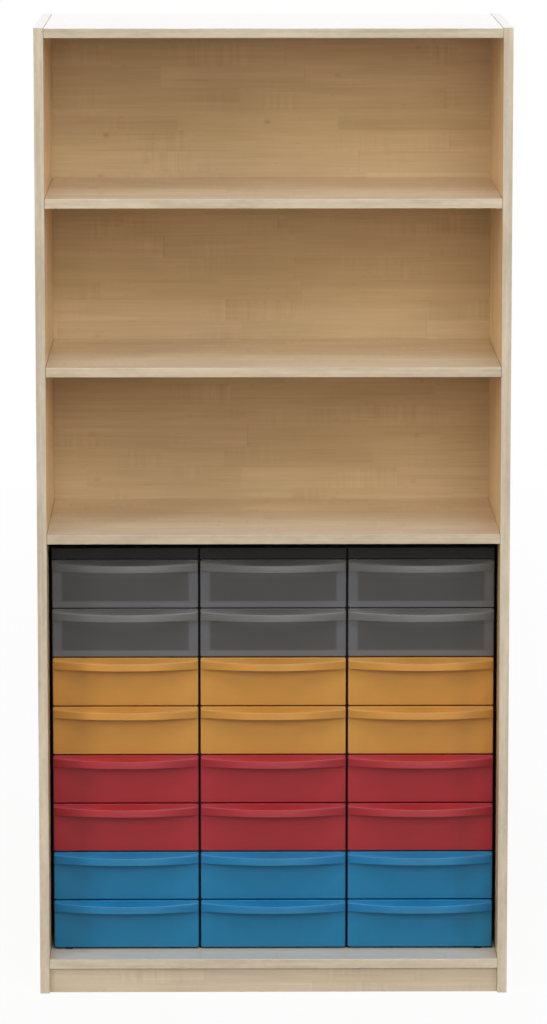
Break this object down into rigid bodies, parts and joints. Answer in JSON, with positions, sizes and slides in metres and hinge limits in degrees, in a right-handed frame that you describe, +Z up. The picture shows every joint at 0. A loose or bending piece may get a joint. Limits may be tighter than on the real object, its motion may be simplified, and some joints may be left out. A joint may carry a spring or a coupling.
{
  "type": "classroom tray storage unit",
  "caption": "Tall maple cabinet with open shelf bays above rows of pull-out plastic trays with bowed handle lips.",
  "frame": {"origin": "on the floor under the middle of the cabinet", "axes": "+Z up, +Y to the back, +X to the right as seen from the front"},
  "size_m": [0.944, 0.498, 1.949],
  "materials": {
    "maple_board": "satin maple decor",
    "black_housing": "fine grained",
    "grey_tray": "smoky, slightly see-through",
    "amber_tray": "satin moulded",
    "red_tray": "satin moulded",
    "blue_tray": "satin moulded",
    "shelf_pin": "zinc plated"
  },
  "bodies": {
    "cabinet": {"left_side": "maple_board", "right_side": "maple_board", "top_panel": "maple_board", "upper_shelf": "maple_board", "middle_shelf": "maple_board", "lower_shelf": "maple_board", "bottom_panel": "maple_board", "front_plinth": "maple_board", "rear_plinth": "maple_board", "back_panel": "maple_board", "upper_shelf_front_left_pin": "shelf_pin", "upper_shelf_front_right_pin": "shelf_pin", "upper_shelf_rear_left_pin": "shelf_pin", "upper_shelf_rear_right_pin": "shelf_pin", "middle_shelf_front_left_pin": "shelf_pin", "middle_shelf_front_right_pin": "shelf_pin", "middle_shelf_rear_left_pin": "shelf_pin", "middle_shelf_rear_right_pin": "shelf_pin", "left_housing_left_wall": "black_housing", "left_housing_right_wall": "black_housing", "left_housing_cover": "black_housing", "left_housing_base": "black_housing", "middle_housing_left_wall": "black_housing", "middle_housing_right_wall": "black_housing", "middle_housing_cover": "black_housing", "middle_housing_base": "black_housing", "right_housing_left_wall": "black_housing", "right_housing_right_wall": "black_housing", "right_housing_cover": "black_housing", "right_housing_base": "black_housing", "front_left_foot": "black_housing", "front_right_foot": "black_housing", "rear_left_foot": "black_housing", "rear_right_foot": "black_housing"},
    "left_tray_1": {"left_tray_1": "grey_tray"},
    "left_tray_2": {"left_tray_2": "grey_tray"},
    "left_tray_3": {"left_tray_3": "amber_tray"},
    "left_tray_4": {"left_tray_4": "amber_tray"},
    "left_tray_5": {"left_tray_5": "red_tray"},
    "left_tray_6": {"left_tray_6": "red_tray"},
    "left_tray_7": {"left_tray_7": "blue_tray"},
    "left_tray_8": {"left_tray_8": "blue_tray"},
    "middle_tray_1": {"middle_tray_1": "grey_tray"},
    "middle_tray_2": {"middle_tray_2": "grey_tray"},
    "middle_tray_3": {"middle_tray_3": "amber_tray"},
    "middle_tray_4": {"middle_tray_4": "amber_tray"},
    "middle_tray_5": {"middle_tray_5": "red_tray"},
    "middle_tray_6": {"middle_tray_6": "red_tray"},
    "middle_tray_7": {"middle_tray_7": "blue_tray"},
    "middle_tray_8": {"middle_tray_8": "blue_tray"},
    "right_tray_1": {"right_tray_1": "grey_tray"},
    "right_tray_2": {"right_tray_2": "grey_tray"},
    "right_tray_3": {"right_tray_3": "amber_tray"},
    "right_tray_4": {"right_tray_4": "amber_tray"},
    "right_tray_5": {"right_tray_5": "red_tray"},
    "right_tray_6": {"right_tray_6": "red_tray"},
    "right_tray_7": {"right_tray_7": "blue_tray"},
    "right_tray_8": {"right_tray_8": "blue_tray"}
  },
  "joints": [
    {"name": "left_tray_1_slide", "type": "slide", "parent": "cabinet", "child": "left_tray_1", "axis": [0, -1, 0], "range_m": [0, 0.28]},
    {"name": "left_tray_2_slide", "type": "slide", "parent": "cabinet", "child": "left_tray_2", "axis": [0, -1, 0], "range_m": [0, 0.28]},
    {"name": "left_tray_3_slide", "type": "slide", "parent": "cabinet", "child": "left_tray_3", "axis": [0, -1, 0], "range_m": [0, 0.28]},
    {"name": "left_tray_4_slide", "type": "slide", "parent": "cabinet", "child": "left_tray_4", "axis": [0, -1, 0], "range_m": [0, 0.28]},
    {"name": "left_tray_5_slide", "type": "slide", "parent": "cabinet", "child": "left_tray_5", "axis": [0, -1, 0], "range_m": [0, 0.28]},
    {"name": "left_tray_6_slide", "type": "slide", "parent": "cabinet", "child": "left_tray_6", "axis": [0, -1, 0], "range_m": [0, 0.28]},
    {"name": "left_tray_7_slide", "type": "slide", "parent": "cabinet", "child": "left_tray_7", "axis": [0, -1, 0], "range_m": [0, 0.28]},
    {"name": "left_tray_8_slide", "type": "slide", "parent": "cabinet", "child": "left_tray_8", "axis": [0, -1, 0], "range_m": [0, 0.28]},
    {"name": "middle_tray_1_slide", "type": "slide", "parent": "cabinet", "child": "middle_tray_1", "axis": [0, -1, 0], "range_m": [0, 0.28]},
    {"name": "middle_tray_2_slide", "type": "slide", "parent": "cabinet", "child": "middle_tray_2", "axis": [0, -1, 0], "range_m": [0, 0.28]},
    {"name": "middle_tray_3_slide", "type": "slide", "parent": "cabinet", "child": "middle_tray_3", "axis": [0, -1, 0], "range_m": [0, 0.28]},
    {"name": "middle_tray_4_slide", "type": "slide", "parent": "cabinet", "child": "middle_tray_4", "axis": [0, -1, 0], "range_m": [0, 0.28]},
    {"name": "middle_tray_5_slide", "type": "slide", "parent": "cabinet", "child": "middle_tray_5", "axis": [0, -1, 0], "range_m": [0, 0.28]},
    {"name": "middle_tray_6_slide", "type": "slide", "parent": "cabinet", "child": "middle_tray_6", "axis": [0, -1, 0], "range_m": [0, 0.28]},
    {"name": "middle_tray_7_slide", "type": "slide", "parent": "cabinet", "child": "middle_tray_7", "axis": [0, -1, 0], "range_m": [0, 0.28]},
    {"name": "middle_tray_8_slide", "type": "slide", "parent": "cabinet", "child": "middle_tray_8", "axis": [0, -1, 0], "range_m": [0, 0.28]},
    {"name": "right_tray_1_slide", "type": "slide", "parent": "cabinet", "child": "right_tray_1", "axis": [0, -1, 0], "range_m": [0, 0.28]},
    {"name": "right_tray_2_slide", "type": "slide", "parent": "cabinet", "child": "right_tray_2", "axis": [0, -1, 0], "range_m": [0, 0.28]},
    {"name": "right_tray_3_slide", "type": "slide", "parent": "cabinet", "child": "right_tray_3", "axis": [0, -1, 0], "range_m": [0, 0.28]},
    {"name": "right_tray_4_slide", "type": "slide", "parent": "cabinet", "child": "right_tray_4", "axis": [0, -1, 0], "range_m": [0, 0.28]},
    {"name": "right_tray_5_slide", "type": "slide", "parent": "cabinet", "child": "right_tray_5", "axis": [0, -1, 0], "range_m": [0, 0.28]},
    {"name": "right_tray_6_slide", "type": "slide", "parent": "cabinet", "child": "right_tray_6", "axis": [0, -1, 0], "range_m": [0, 0.28]},
    {"name": "right_tray_7_slide", "type": "slide", "parent": "cabinet", "child": "right_tray_7", "axis": [0, -1, 0], "range_m": [0, 0.28]},
    {"name": "right_tray_8_slide", "type": "slide", "parent": "cabinet", "child": "right_tray_8", "axis": [0, -1, 0], "range_m": [0, 0.28]}
  ]
}
